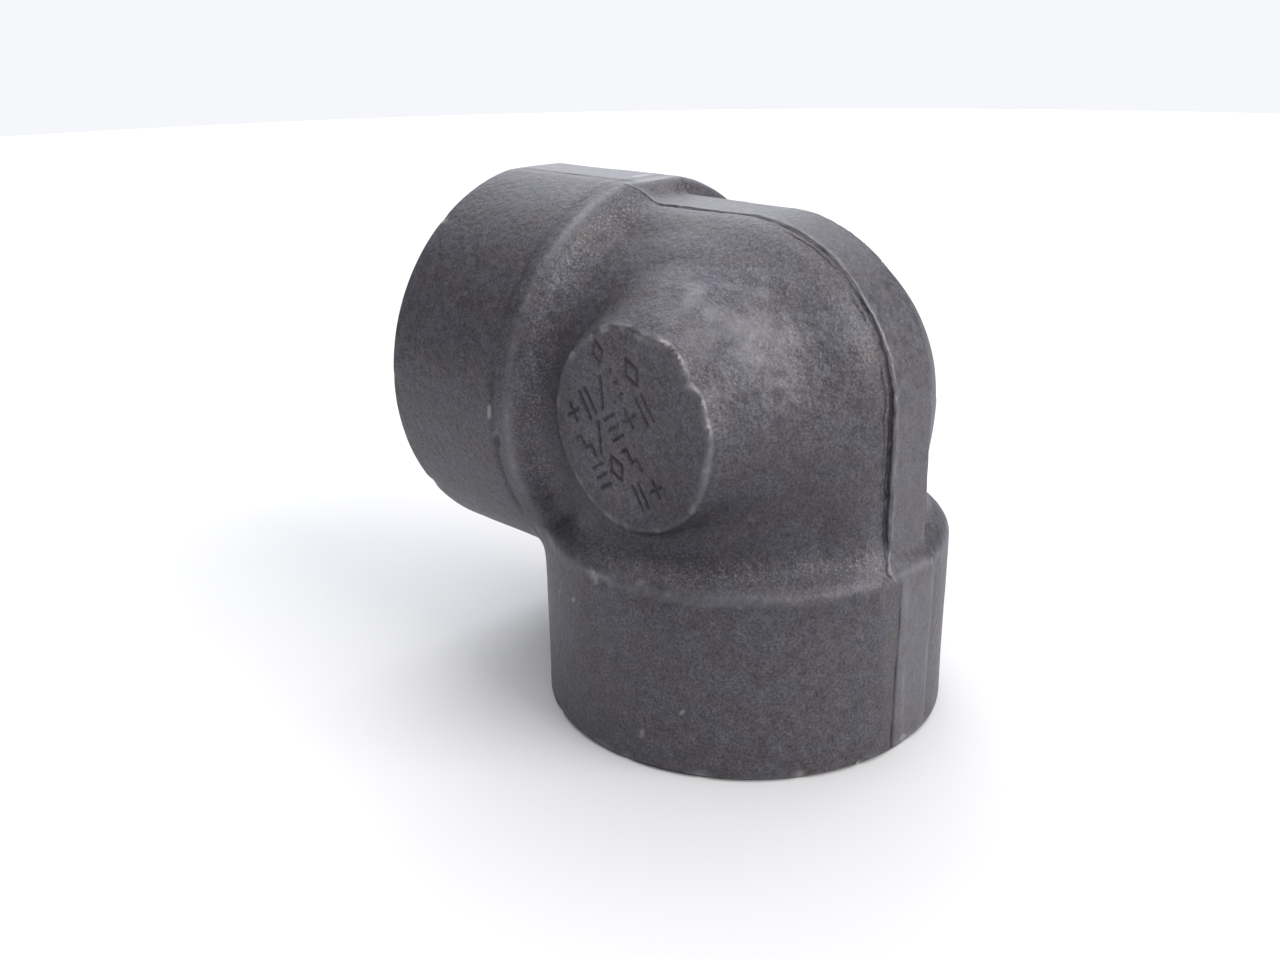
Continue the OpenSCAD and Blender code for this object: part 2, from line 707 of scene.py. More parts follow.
@dataclass
class ForgedElbow:
    """The one-piece forging: two bands, the bend, its pads and its flash strip."""

    centre_to_end: float
    band_r: float
    socket_r: float
    flat_reach: float
    band_len: float = 20.0
    shoulder_r: float = 1.5
    body_r: float = 20.0
    water_r: float = 13.3
    socket_depth: float = 12.7
    mouth_bevel: float = 0.45
    outer_bevel: float = 0.4
    heel_back: float = 0.7
    heel_up: float = 0.6
    hollow_width: float = 4.2
    crotch_width: float = 2.6
    pad_r: float = 10.7
    pad_reach: float = 20.4
    pad_back: float = 1.95
    pad_up: float = 1.57
    pad_draft_deg: float = 22.0
    plain_pad_r: float = 8.5
    plain_pad_reach: float = 20.15
    strip_back: float = 21.6
    strip_top: float = 20.8
    strip_turn_r: float = 18.8
    strip_front: float = 2.76
    strip_rear: float = 3.9
    strip_proud_back: float = 1.05
    strip_proud_top: float = 0.22
    blank_grid: float = 0.49
    dents: Tuple[Dent, ...] = ()
    rows: Tuple[StampRow, ...] = ()
    objects: List[bpy.types.Object] = field(default_factory=list)

    # ------------------------------------------------------------ the field

    def arm_coordinates(self, points: np.ndarray, arm: Arm) -> Tuple[np.ndarray, np.ndarray]:
        """Places points on an arm's own axis.

        Args:
            points: rows of x, y, z.
            arm: the arm whose axis is used.

        Returns:
            The distance from the mouth along the axis, and the distance from the axis.
        """
        x, y, z = points.T
        if arm is Arm.LOWER:
            return z, np.hypot(x, y)
        return x + self.centre_to_end, np.hypot(y, z - self.centre_to_end)

    def outward(self, points: np.ndarray, arm: Arm) -> np.ndarray:
        """How far points lie from an arm's axis towards the outside of the bend."""
        return points[:, 0] if arm is Arm.LOWER else points[:, 2] - self.centre_to_end

    def band_field(self, points: np.ndarray, arm: Arm) -> np.ndarray:
        """The distance to a socket band, with its rounded shoulder and two flats.

        Args:
            points: rows of x, y, z.
            arm: whose band it is.

        Returns:
            Signed distances in millimetres, negative inside.
        """
        along, radius = self.arm_coordinates(points, arm)
        side = radius - (self.band_r - self.shoulder_r)
        end = along - self.band_len
        outside = np.hypot(np.maximum(side, 0), np.maximum(end, 0))
        band = outside + np.minimum(np.maximum(side, end), 0) - self.shoulder_r
        across = self.outward(points, arm)
        return smooth_max(band, np.abs(across) - self.flat_reach, 0.12)

    def bend_field(self, points: np.ndarray) -> np.ndarray:
        """The distance to the bend: two round arms and the ball of the heel.

        Args:
            points: rows of x, y, z.

        Returns:
            Signed distances in millimetres, negative inside.
        """
        corner = np.array((self.heel_back, 0, self.centre_to_end + self.heel_up))
        bend = np.linalg.norm(points - corner, axis=1) - self.body_r
        for arm in Arm:
            along, radius = self.arm_coordinates(points, arm)
            bend = smooth_min(
                bend, np.maximum(radius - self.body_r, along - self.centre_to_end), 1.2
            )
        return bend

    def pad_rim(self, bearing: np.ndarray) -> np.ndarray:
        """How far the pad's rim stands from a true circle at a bearing in degrees.

        Args:
            bearing: degrees round the pad.

        Returns:
            Millimetres outwards.
        """
        rim = np.zeros_like(bearing)
        for centre, width, lift in RIM_BUMPS:
            away = (bearing - centre + 180) % 360 - 180
            rim += lift * hump(away, 0, width)
        return rim

    def pad_plane(self, points: np.ndarray) -> Tuple[np.ndarray, np.ndarray, np.ndarray]:
        """Places points on the pad.

        Args:
            points: rows of x, y, z.

        Returns:
            Right and up from the pad's middle, seen from the marked side, and the distance
            out from the bend's plane.
        """
        right = points[:, 0] - self.pad_back
        up = points[:, 2] - self.centre_to_end - self.pad_up
        return right, up, -points[:, 1]

    def pad_field(self, points: np.ndarray, bend: np.ndarray) -> np.ndarray:
        """Adds the drafted pads to the bend, one on each side.

        Args:
            points: rows of x, y, z.
            bend: the bend's field at those points.

        Returns:
            The field of the bend with its pads, cut flat at the pads' faces.
        """
        right, up, _ = self.pad_plane(points)
        out = np.abs(points[:, 1])
        bearing = np.degrees(np.arctan2(up, right))
        marked = points[:, 1] < 0
        reach = np.where(marked, self.pad_reach, self.plain_pad_reach)
        edge = np.where(marked, self.pad_r, self.plain_pad_r)
        ragged = self.pad_rim(bearing) * np.where(marked, 0.5, 0.25)
        edge = edge + ragged * hump(np.maximum(reach - out, 0), 0, 1.3)
        heelward = ramp((right + up) / (np.hypot(right, up) + 1e-6), -0.2, 1.3)
        draft = math.radians(self.pad_draft_deg)
        flank = np.hypot(right, up) - edge - (reach - out) * math.tan(draft)
        flank = flank * math.cos(draft)
        flank = np.maximum(flank, 6.0 - out)
        fairing = 0.8 + np.where(marked, 3.4, 1.0) * heelward * ramp(out, 9.5, 16.5)
        joined = smooth_min(bend, flank, fairing)
        return smooth_max(joined, out - reach, 0.25)

    def strip_run(self, points: np.ndarray) -> np.ndarray:
        """The distance to the strip's long outline, seen along Y.

        Args:
            points: rows of x, y, z.

        Returns:
            Signed distances in millimetres, negative inside.
        """
        right = points[:, 0] - (self.strip_back - self.strip_turn_r)
        up = points[:, 2] - self.centre_to_end - (self.strip_top - self.strip_turn_r)
        outside = np.hypot(np.maximum(right, 0), np.maximum(up, 0))
        return outside + np.minimum(np.maximum(right, up), 0) - self.strip_turn_r

    def rise_to_strip(self, points: np.ndarray, bend: np.ndarray) -> np.ndarray:
        """Swells the marked side up to the strip, which stands least proud round the heel.

        Args:
            points: rows of x, y, z.
            bend: the bend's field at those points.

        Returns:
            The field of the bend with the swelling.
        """
        right = points[:, 0] - (self.strip_back - self.strip_turn_r)
        up = points[:, 2] - self.centre_to_end - (self.strip_top - self.strip_turn_r)
        turned = np.degrees(np.arctan2(np.maximum(up, 0), np.maximum(right, 1e-3)))
        drop = (self.strip_proud_back - self.strip_proud_top) * ramp(turned, -30, 38)
        beside = np.maximum(np.abs(points[:, 1] - 0.55) - 3.3, 0)
        run = self.strip_run(points)
        far_side = 2.5 * ramp(points[:, 1], 1, 4)
        swell = run + self.strip_proud_back - drop + 0.09 * beside**2 + far_side
        swell = np.maximum(swell, -run - 7)
        for arm in Arm:
            along, _ = self.arm_coordinates(points, arm)
            swell = np.maximum(swell, self.band_len - along)
        return smooth_min(bend, swell, 0.8)

    def shoulder_lobe(self, points: np.ndarray) -> np.ndarray:
        """How much wider the strip is where it bridges a shoulder's hollow.

        Args:
            points: rows of x, y, z.

        Returns:
            The extra width in millimetres.
        """
        lobe = np.zeros(len(points))
        for arm, spot, width, lift in (
            (Arm.LOWER, self.band_len + 1.7, 1.1, 1.2),
            (Arm.UPPER, self.band_len + 0.5, 1.8, 1.35),
        ):
            along, _ = self.arm_coordinates(points, arm)
            lobe += lift * hump(along, spot, width)
        return lobe

    def strip_edges(self, points: np.ndarray) -> Tuple[np.ndarray, np.ndarray]:
        """Where the strip's ragged edges run.

        Args:
            points: rows of x, y, z.

        Returns:
            The Y of the front edge and of the rear edge at each point.
        """
        flat = points * np.array((1, 0, 1))
        wander = 0.16 * noise(flat, 3.1, 3) + 0.14 * noise(flat, 0.9, 4)
        rear = 0.12 * noise(flat, 3.1, 5) + 0.06 * noise(flat, 0.9, 6)
        lobe = self.shoulder_lobe(points)
        return -self.strip_front - lobe + wander, self.strip_rear + 0.6 * lobe + rear

    def strip_field(self, points: np.ndarray) -> np.ndarray:
        """The distance to the flash strip left along the outside of the bend.

        Args:
            points: rows of x, y, z.

        Returns:
            Signed distances in millimetres, negative inside.
        """
        front, rear = self.strip_edges(points)
        middle, half = (front + rear) / 2, (rear - front) / 2
        side = np.abs(points[:, 1] - middle) - half
        wall = side - 0.04 * np.maximum(-self.strip_run(points), 0)
        strip = smooth_max(self.strip_run(points), wall, 0.25)
        for arm in Arm:
            along, _ = self.arm_coordinates(points, arm)
            strip = np.maximum(strip, self.band_len - 0.5 - along)
        return strip

    def body_field(self, points: np.ndarray) -> np.ndarray:
        """The distance to everything but the strip: bands, bend and pads.

        Args:
            points: rows of x, y, z.

        Returns:
            Signed distances in millimetres, negative inside.
        """
        bend = self.rise_to_strip(points, self.bend_field(points))
        bend = self.pad_field(points, bend)
        bands = smooth_min(
            self.band_field(points, Arm.LOWER),
            self.band_field(points, Arm.UPPER),
            self.crotch_width,
        )
        return smooth_min(bands, bend, self.hollow_width)

    def skin_field(self, points: np.ndarray) -> np.ndarray:
        """The distance to the forging's whole skin, negative inside."""
        return smooth_min(self.body_field(points), self.strip_field(points), 0.25)

    # ------------------------------------------------------------ the relief

    def on_strip_side(self, points: np.ndarray) -> np.ndarray:
        """One over the stretch where the flash strip shows, and zero elsewhere.

        Args:
            points: rows of x, y, z.

        Returns:
            A share from 0 to 1.
        """
        near = ramp(-np.abs(self.strip_run(points)), -3.0, -2.4)
        lower, _ = self.arm_coordinates(points, Arm.LOWER)
        upper, _ = self.arm_coordinates(points, Arm.UPPER)
        shown = ramp(lower, self.band_len + 0.2, self.band_len + 0.8)
        return near * shown * ramp(upper, self.band_len + 0.2, self.band_len + 0.8)

    def crack(self, points: np.ndarray) -> np.ndarray:
        """How strongly the torn seam along the strip's edges shows, from 0 to 1.

        Args:
            points: rows of x, y, z.

        Returns:
            A share from 0 to 1.
        """
        front, rear = self.strip_edges(points)
        flat = points * np.array((1, 0, 1))
        y = points[:, 1]
        foot = hump(self.body_field(points), 0, 0.26)
        top = hump(self.strip_run(points), 0, 0.2)
        tear = 0.1 * noise(flat, 0.55, 11)
        open_share = 0.65 + 0.35 * noise(flat, 1.7, 12)
        first = hump(y, front - 0.05 + tear, 0.12) * open_share * foot
        edge = hump(y, front + 0.12 + tear, 0.12) * top * (0.4 + 0.4 * noise(flat, 2.2, 15))
        turn = ramp(points[:, 0] - 2, 0, 8) * ramp(noise(flat, 5.0, 13), -0.35, 0.1)
        second = hump(y, front - 0.75 + 0.3 * noise(flat, 1.6, 14), 0.1) * 0.5 * turn * foot
        third = hump(y, rear + 0.1 + tear, 0.15) * 0.6 * foot
        torn = first + np.maximum(edge, 0) + second + third
        return np.clip(torn, 0, 1) * self.on_strip_side(points)

    def stamp_strokes(self) -> np.ndarray:
        """The stamped strokes on the pad as rows of x0, up0, x1, up1 in pad millimetres.

        Returns:
            One row for each stroke.
        """
        strokes = []
        for row in self.rows:
            slant = math.radians(row.slant_deg)
            ahead = np.array((math.cos(slant), math.sin(slant)))
            over = np.array((-math.sin(slant), math.cos(slant)))
            for number, mark in enumerate(row.marks):
                foot = np.array(row.start) + ahead * row.pitch * number
                wobble = 0.12 * math.sin(7.3 * number + row.start[0])
                for (a, b), (c, d) in mark.value:
                    first = foot + (ahead * a + over * (b + wobble * 0.3)) * row.height
                    last = foot + (ahead * c + over * (d + wobble * 0.3)) * row.height
                    strokes.append((*first, *last))
        return np.array(strokes).reshape(-1, 4)

    def stamp(self, points: np.ndarray) -> np.ndarray:
        """How deeply the stamp has struck, from 0 to 1, over the marked pad.

        Args:
            points: rows of x, y, z.

        Returns:
            A share from 0 to 1.
        """
        struck = np.zeros(len(points))
        right, up, out = self.pad_plane(points)
        near = (out > self.pad_reach - 0.9) & (np.hypot(right, up) < self.pad_r + 0.5)
        place = np.stack((right[near], up[near]), axis=1)
        best = np.full(len(place), 9.0)
        for x0, u0, x1, u1 in self.stamp_strokes():
            start, run = np.array((x0, u0)), np.array((x1 - x0, u1 - u0))
            share = np.clip((place - start) @ run / (run @ run), 0, 1)
            best = np.minimum(best, np.linalg.norm(place - start - share[:, None] * run, axis=1))
        struck[near] = 1 - ramp(best, 0.07, 0.25)
        worn = 0.72 + 0.28 * noise(points, 2.4, 21)
        return struck * np.clip(worn, 0, 1)

    def dent_shares(self, points: np.ndarray) -> Tuple[np.ndarray, np.ndarray]:
        """Adds up the nicks and chips.

        Args:
            points: rows of x, y, z.

        Returns:
            The depth in millimetres at each point, and how much bare metal shows there.
        """
        depth, bare = np.zeros(len(points)), np.zeros(len(points))
        for dent in self.dents:
            away = points - np.array(dent.place)
            run = np.array(dent.stretch)
            length = float(run @ run)
            if length:
                share = np.clip(away @ run / length, -0.5, 0.5)
                away = away - share[:, None] * run
            wide = dent.reach * (1 + 0.35 * noise(points, dent.reach * 1.1, 31))
            share = hump(np.linalg.norm(away, axis=1), 0, wide)
            depth += dent.depth * share
            bare += dent.bare * ramp(share, 0.25, 0.8)
        return depth, np.clip(bare, 0, 1)

    def band_seams(self, points: np.ndarray) -> Tuple[np.ndarray, np.ndarray]:
        """The fine lines that the trimming left along the outside of each band.

        Args:
            points: rows of x, y, z.

        Returns:
            How strongly the cut lines show, and how strongly the raised ones do, from 0 to 1.
        """
        cut, raised = np.zeros(len(points)), np.zeros(len(points))
        for seam in SEAMS:
            along, radius = self.arm_coordinates(points, seam.arm)
            across = self.outward(points, seam.arm)
            on_band = ramp(-along, -self.band_len - 0.6, -self.band_len + 0.4)
            on_band = on_band * ramp(radius, 21.5, 22.3)
            flat = points * (np.array((0, 0, 1)) if seam.arm is Arm.LOWER else np.array((1, 0, 0)))
            wander = 0.09 * noise(flat, 2.3, 41) + 0.04 * noise(flat, 0.7, 43)
            patchy = 0.6 + 0.4 * noise(flat + seam.mouth_y, 2.7, 42)
            place = seam.mouth_y + (seam.shoulder_y - seam.mouth_y) * along / self.band_len
            line = on_band * ramp(across, 18, 20) * hump(points[:, 1], place + wander, seam.width)
            if seam.cut:
                cut += line * patchy * seam.strength
            else:
                raised += line * patchy * seam.strength
        return np.clip(cut, 0, 1), np.clip(raised, 0, 1)

    def shoulder_lines(self, points: np.ndarray) -> Tuple[np.ndarray, np.ndarray]:
        """The ridge round each band's shoulder, worn and painted paler as a highlight, and the faint
        groove before it, painted darker as shade.

        Args:
            points: rows of x, y, z.

        Returns:
            How strongly the ridge shows, and how strongly the groove does, from 0 to 1.
        """
        ridge, groove = np.zeros(len(points)), np.zeros(len(points))
        for arm in Arm:
            along, radius = self.arm_coordinates(points, arm)
            along = along + 0.16 * noise(points, 4.0, 61)
            outer = ramp(radius, 21.2, 22.2) * hump(self.band_field(points, arm), 0, 1.0)
            ridge += outer * hump(along, self.band_len + 0.75, 0.5)
            if arm is Arm.UPPER:
                groove += outer * hump(along, self.band_len - 1.5, 0.45)
        share = np.clip(0.55 + 0.6 * noise(points, 5.0, 62), 0, 1)
        return ridge * share, groove * np.clip(0.5 + 0.6 * noise(points, 4.0, 63), 0, 1)

    def painted_shade_share(self, points: np.ndarray) -> np.ndarray:
        """How much shade is painted on a point: round the pad's root, in the inner corner and low on the
        marked side of the bend.

        Args:
            points: rows of x, y, z.

        Returns:
            A share from 0 to 1.
        """
        right, up, _ = self.pad_plane(points)
        out = np.abs(points[:, 1])
        reach = np.hypot(right, up)
        root = reach - self.pad_r - (self.pad_reach - out) * math.tan(math.radians(self.pad_draft_deg))
        inward = ramp(-(right + up) / (reach + 1e-6), -0.5, 0.8)
        # painted shade round the pad's root, in the inner corner and low on the marked side
        shade = hump(root, 0.9, 2.2) * inward * ramp(out, 8, 13)
        lower, _ = self.arm_coordinates(points, Arm.LOWER)
        upper, _ = self.arm_coordinates(points, Arm.UPPER)
        corner = hump(np.hypot(lower - self.band_len - 1.5, upper - self.band_len - 1.5), 0, 5)
        low = hump(lower, self.band_len + 7, 8) * ramp(-points[:, 1], 4, 9) * ramp(right, -2, 6)
        return np.clip(shade + 0.7 * corner + low, 0, 1)

    def relief(self, points: np.ndarray) -> np.ndarray:
        """How far the skin stands off its true shape.

        Args:
            points: rows of x, y, z.

        Returns:
            The lift along the normal in millimetres, negative where it is cut in.
        """
        right, up, out = self.pad_plane(points)
        swell = 0.09 * noise(points, 9.0, 1) + 0.035 * noise(points, 2.6, 2)
        pad = ramp(out, self.pad_reach - 0.8, self.pad_reach - 0.2) * ramp(
            -np.hypot(right, up), -12.5, -11.5
        )
        lift = swell * (1 - 0.6 * pad) + pad * 0.03 * noise(points, 1.1, 7)
        bearing = np.degrees(np.arctan2(up, right))
        burr = hump(np.hypot(right, up), self.pad_r + self.pad_rim(bearing) - 0.35, 0.35)
        burr = burr * pad * ramp(bearing, -35, -10) * ramp(-bearing, -75, -55)
        lift += 0.28 * burr * (0.7 + 0.5 * noise(points, 1.3, 8))
        lift -= 0.3 * self.crack(points)
        lift -= 0.2 * self.stamp(points)
        cut, raised = self.band_seams(points)
        lift += 0.035 * raised - 0.18 * cut
        ridge, groove = self.shoulder_lines(points)
        lift += 0.07 * ridge - 0.2 * groove
        return lift - self.dent_shares(points)[0]

    # ------------------------------------------------------------ the mesh

    def drop_round(self, radius: float, start: float, end: float, arm: Arm) -> bpy.types.Object:
        """Adds a cylinder on an arm's axis, from start to end.

        Args:
            radius: the cylinder's radius in millimetres.
            start: how far from the mouth it begins.
            end: how far from the mouth it ends.
            arm: whose axis it lies on.

        Returns:
            The new cylinder.
        """
        middle = (start + end) / 2
        if arm is Arm.LOWER:
            place, turn = Vector((0, 0, middle)), (0, 0, 0)
        else:
            place = Vector((middle - self.centre_to_end, 0, self.centre_to_end))
            turn = (0, math.pi / 2, 0)
        bpy.ops.mesh.primitive_cylinder_add(
            vertices=96, radius=radius * MM, depth=(end - start) * MM, location=place * MM, rotation=turn
        )
        return bpy.context.active_object

    def rough_blank(self) -> bpy.types.Object:
        """Forges the rough blank from overlapping solids and fuses their skins.

        Returns:
            One closed mesh on an even grid, a little off its final shape.
        """
        bpy.ops.object.select_all(action="DESELECT")
        parts = []
        for arm in Arm:
            parts.append(self.drop_round(self.band_r, -2.0, self.band_len + self.shoulder_r, arm))
            parts.append(self.drop_round(self.body_r, 2.0, self.centre_to_end, arm))
        corner = Vector((self.heel_back, 0, self.centre_to_end + self.heel_up))
        bpy.ops.mesh.primitive_uv_sphere_add(
            segments=96, ring_count=48, radius=self.body_r * MM, location=corner * MM
        )
        parts.append(bpy.context.active_object)
        spread = math.tan(math.radians(self.pad_draft_deg)) * 8
        pads = ((-1, self.pad_r, self.pad_reach), (1, self.plain_pad_r, self.plain_pad_reach))
        for side, radius, reach in pads:
            place = Vector((self.pad_back, side * (reach - 4), self.centre_to_end + self.pad_up))
            bpy.ops.mesh.primitive_cone_add(
                vertices=96,
                radius1=(radius + spread) * MM,
                radius2=radius * MM,
                depth=8 * MM,
                location=place * MM,
                rotation=(-side * math.pi / 2, 0, 0),
            )
            parts.append(bpy.context.active_object)
        parts.append(self.strip_blank())
        blank = parts[0]
        bpy.ops.object.select_all(action="DESELECT")
        for part in parts:
            part.select_set(True)
        bpy.context.view_layer.objects.active = blank
        bpy.ops.object.transform_apply(location=True, rotation=True, scale=True)
        bpy.ops.object.join()
        blank = bpy.context.active_object
        bpy.context.scene.cursor.location = (0, 0, 0)
        bpy.ops.object.origin_set(type="ORIGIN_CURSOR")
        blank.name = "forged_elbow"
        blank.data.name = "forged_elbow"
        apply_modifier(blank, "REMESH", mode="VOXEL", voxel_size=self.blank_grid * MM, adaptivity=0.0)
        return blank

    def strip_blank(self) -> bpy.types.Object:
        """Adds the strip as a thick disc at the turn, drawn out along both arms.

        Returns:
            The new object.
        """
        width = self.strip_front + self.strip_rear
        middle = (self.strip_rear - self.strip_front) / 2
        turn = Vector(
            (
                self.strip_back - self.strip_turn_r,
                middle,
                self.centre_to_end + self.strip_top - self.strip_turn_r,
            )
        )
        bpy.ops.mesh.primitive_cylinder_add(
            vertices=96,
            radius=self.strip_turn_r * MM,
            depth=width * MM,
            location=turn * MM,
            rotation=(math.pi / 2, 0, 0),
        )
        disc = bpy.context.active_object
        bpy.ops.object.transform_apply(location=True, rotation=True, scale=True)
        edit(disc)
        bpy.ops.mesh.select_all(action="DESELECT")
        finish_edit()
        low_end = self.band_len - 1.0
        for vertex in disc.data.vertices:
            if vertex.co.z < turn.z * MM:
                vertex.co.z = low_end * MM
                inner = vertex.co.x < turn.x * MM
                vertex.co.x = max(vertex.co.x, 2 * MM) if inner else self.strip_back * MM
            elif vertex.co.x < turn.x * MM:
                vertex.co.x = (low_end - self.centre_to_end) * MM
                vertex.co.z = (self.centre_to_end + self.strip_top) * MM
        return disc

    def refine(self, obj: bpy.types.Object, wanted: Callable[[np.ndarray], np.ndarray]) -> None:
        """Splits the faces in a stretch of the skin once each way.

        Args:
            obj: the forging.
            wanted: says which of the given face middles are in the stretch.
        """
        edit(obj, "FACE")
        bpy.ops.mesh.select_all(action="DESELECT")
        finish_edit()
        obj.data.polygons.foreach_set("select", wanted(face_middles(obj.data)))
        edit(obj, "FACE")
        bpy.ops.mesh.subdivide(number_cuts=1)
        finish_edit()

    def fair(self, obj: bpy.types.Object, steps: int) -> None:
        """Draws the blank's vertices onto the true skin.

        Args:
            obj: the blank.
            steps: how many times each vertex steps down the distance field.
        """
        points = coordinates(obj.data)
        nudge = 0.01
        for _ in range(steps):
            here = self.skin_field(points)
            slope = np.empty_like(points)
            for axis in range(3):
                moved = points.copy()
                moved[:, axis] += nudge
                slope[:, axis] = (self.skin_field(moved) - here) / nudge
            size = np.maximum((slope**2).sum(axis=1), 0.2)
            step = np.clip(here / size, -0.8, 0.8)
            ends = (points[:, 2] < -0.6) | (points[:, 0] < -self.centre_to_end - 0.6)
            step[ends] = 0
            points = points - step[:, None] * slope
        put_coordinates(obj.data, points)

    def fine_stretch(self, points: np.ndarray) -> np.ndarray:
        """Where the skin needs a fine mesh: the strip's edges and the marked pad.

        Args:
            points: rows of x, y, z.

        Returns:
            True where the mesh is to be split.
        """
        right, up, out = self.pad_plane(points)
        front, rear = self.strip_edges(points)
        shown = self.on_strip_side(points) > 0.01
        y = points[:, 1]
        tears = shown & (y > front - 1.3) & (y < front + 0.5)
        back_tears = shown & (y > rear - 0.4) & (y < rear + 0.5)
        pad = (out > self.pad_reach - 0.9) & (np.hypot(right, up) < self.pad_r + 1.5)
        cut, raised = self.band_seams(points)
        return tears | back_tears | pad | (cut > 0.03) | (raised > 0.03)

    def tears_only(self, points: np.ndarray) -> np.ndarray:
        """Where the skin needs the finest mesh: the torn edge and the stamp.

        Args:
            points: rows of x, y, z.

        Returns:
            True where the mesh is to be split again.
        """
        front, _ = self.strip_edges(points)
        shown = self.on_strip_side(points) > 0.05
        y = points[:, 1]
        torn = shown & (y > front - 1.0) & (y < front + 0.3)
        right, up, out = self.pad_plane(points)
        stamped = np.zeros(len(points), bool)
        near = (out > self.pad_reach - 0.9) & (np.hypot(right, up) < self.pad_r)
        stamped[near] = self.stamp(points[near]) > 0.02
        return torn | stamped

    def cutter(self, arm: Arm) -> bpy.types.Object:
        """Turns the tool that faces an arm's mouth and bores its socket and waterway.

        Args:
            arm: the arm to cut.

        Returns:
            The tool as a closed solid.
        """
        wide = self.band_r + 7
        ball = [
            (self.water_r * math.cos(a), self.centre_to_end + self.water_r * math.sin(a))
            for a in np.linspace(0, math.pi / 2, 24)
        ]
        ball[-1] = (0.0, ball[-1][1])
        profile = [
            (0.0, -4.0),
            (wide, -4.0),
            (wide, wide - self.band_r + self.outer_bevel),
            (self.band_r - self.outer_bevel, 0.0),
            (self.socket_r + self.mouth_bevel, 0.0),
            (self.socket_r, self.mouth_bevel),
            (self.socket_r, self.socket_depth),
            (self.water_r, self.socket_depth),
            *ball,
        ]
        if arm is Arm.LOWER:
            return lathe("tool_lower", profile, (0, 0, 0), True, 192)
        start = (-self.centre_to_end, 0.0, self.centre_to_end)
        return lathe("tool_upper", profile, start, False, 192)

    def build(self) -> bpy.types.Object:
        """Makes the forging's finished mesh.

        Returns:
            The object, closed and at the origin.
        """
        body = self.rough_blank()
        self.fair(body, 3)
        edit_all(body)
        bpy.ops.mesh.vertices_smooth(factor=0.5, repeat=2)
        finish_edit()
        self.fair(body, 3)
        self.refine(body, self.fine_stretch)
        self.fair(body, 2)
        self.refine(body, self.tears_only)
        self.fair(body, 2)
        points = coordinates(body.data)
        points = points + vertex_normals(body.data) * self.relief(points)[:, None]
        low, high = (np.array(corner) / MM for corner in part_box("elbow_body"))
        points = np.minimum(points, high - BOX_CLEARANCE)
        points[:, 1] = np.maximum(points[:, 1], low[1] + BOX_CLEARANCE)
        put_coordinates(body.data, points)
        LOG.info("skin: %d vertices", len(body.data.vertices))
        for arm in Arm:
            tool = self.cutter(arm)
            apply_modifier(body, "BOOLEAN", operation="DIFFERENCE", solver="MANIFOLD", object=tool)
            bpy.data.objects.remove(tool)
        edit_all(body)
        bpy.ops.mesh.remove_doubles(threshold=1e-6)
        finish_edit()
        self.objects.append(body)
        return body

    # ------------------------------------------------------------ dressing

    def painted_sheen(self, points: np.ndarray) -> np.ndarray:
        """How strongly a highlight is painted on the bend between the pad and the heel, from 0 to 1."""
        return np.clip(sum(w * hump(distance_to(points, at), 0, r) for at, r, w in PAINTED_SHEEN_SPOTS), 0, 1)

    def trimmed(self, points: np.ndarray) -> np.ndarray:
        """Where the bands were trimmed flat on the outside of the bend.

        Args:
            points: rows of x, y, z.

        Returns:
            How strongly the trimmed stretch shows, from 0 to 1.
        """
        share = np.zeros(len(points))
        side = ramp(points[:, 1], -2.2, -1.2) * ramp(-points[:, 1], -4.6, -3.9)
        for arm in Arm:
            along, _ = self.arm_coordinates(points, arm)
            flat = ramp(self.outward(points, arm), self.flat_reach - 0.35, self.flat_reach - 0.05)
            share += flat * side * ramp(-along, -self.band_len - 1.5, -self.band_len)
        return share

    def rim_share(self, points: np.ndarray) -> Tuple[np.ndarray, np.ndarray]:
        """Finds the marked pad's rim.

        Args:
            points: rows of x, y, z.

        Returns:
            How near each point is to the rim, from 0 to 1, and its bearing in degrees.
        """
        right, up, out = self.pad_plane(points)
        bearing = np.degrees(np.arctan2(up, right))
        reach = np.hypot(right, up)
        face = ramp(out, self.pad_reach - 0.5, self.pad_reach - 0.1) * ramp(-reach, -12.2, -11.4)
        return hump(reach, self.pad_r + self.pad_rim(bearing), 0.45) * face, bearing

    def wear_and_sheen_share(self, points: np.ndarray) -> np.ndarray:
        """Where the skin is painted paler: wear on the strip, lips, rim, flats and mouths, and painted
        highlights on the ridges, the lit side of the rim and the bend.

        Args:
            points: rows of x, y, z.

        Returns:
            How strongly it is worn and painted with highlights, to be held between 0 and 1.
        """
        y = points[:, 1]
        front, _ = self.strip_edges(points)
        flat_on = self.on_strip_side(points)
        on_strip = flat_on * ramp(y, -self.strip_front - 0.2, -self.strip_front + 0.2)
        on_strip = on_strip * ramp(-y, -self.strip_rear - 0.2, -self.strip_rear + 0.2)
        lip = flat_on * hump(y, front + 0.25, 0.22)
        rim, bearing = self.rim_share(points)
        lit_rim = rim * (0.35 + 0.65 * ramp(bearing, -60, -10) * ramp(-bearing, -85, -60))
        mouth_rub = np.zeros(len(points))
        for arm in Arm:
            along, radius = self.arm_coordinates(points, arm)
            mouth_rub += hump(along, 0.3, 0.45) * ramp(radius, 21.5, 22.3)
        ridge, _ = self.shoulder_lines(points)
        _, raised_line = self.band_seams(points)
        # wear, with painted highlights on the shoulder ridges and the lit side of the rim
        wear_and_sheen = 0.25 * on_strip + 0.8 * lip + ridge + 0.8 * lit_rim
        wear_and_sheen += 0.5 * self.trimmed(points) + 0.9 * raised_line
        wear_and_sheen += 0.8 * mouth_rub * ramp(noise(points, 2.2, 55), -0.3, 0.5)
        # painted highlight on the bend between pad and heel
        return wear_and_sheen + 0.75 * self.painted_sheen(points) * ramp(noise(points, 1.3, 54), -0.7, 0.7)

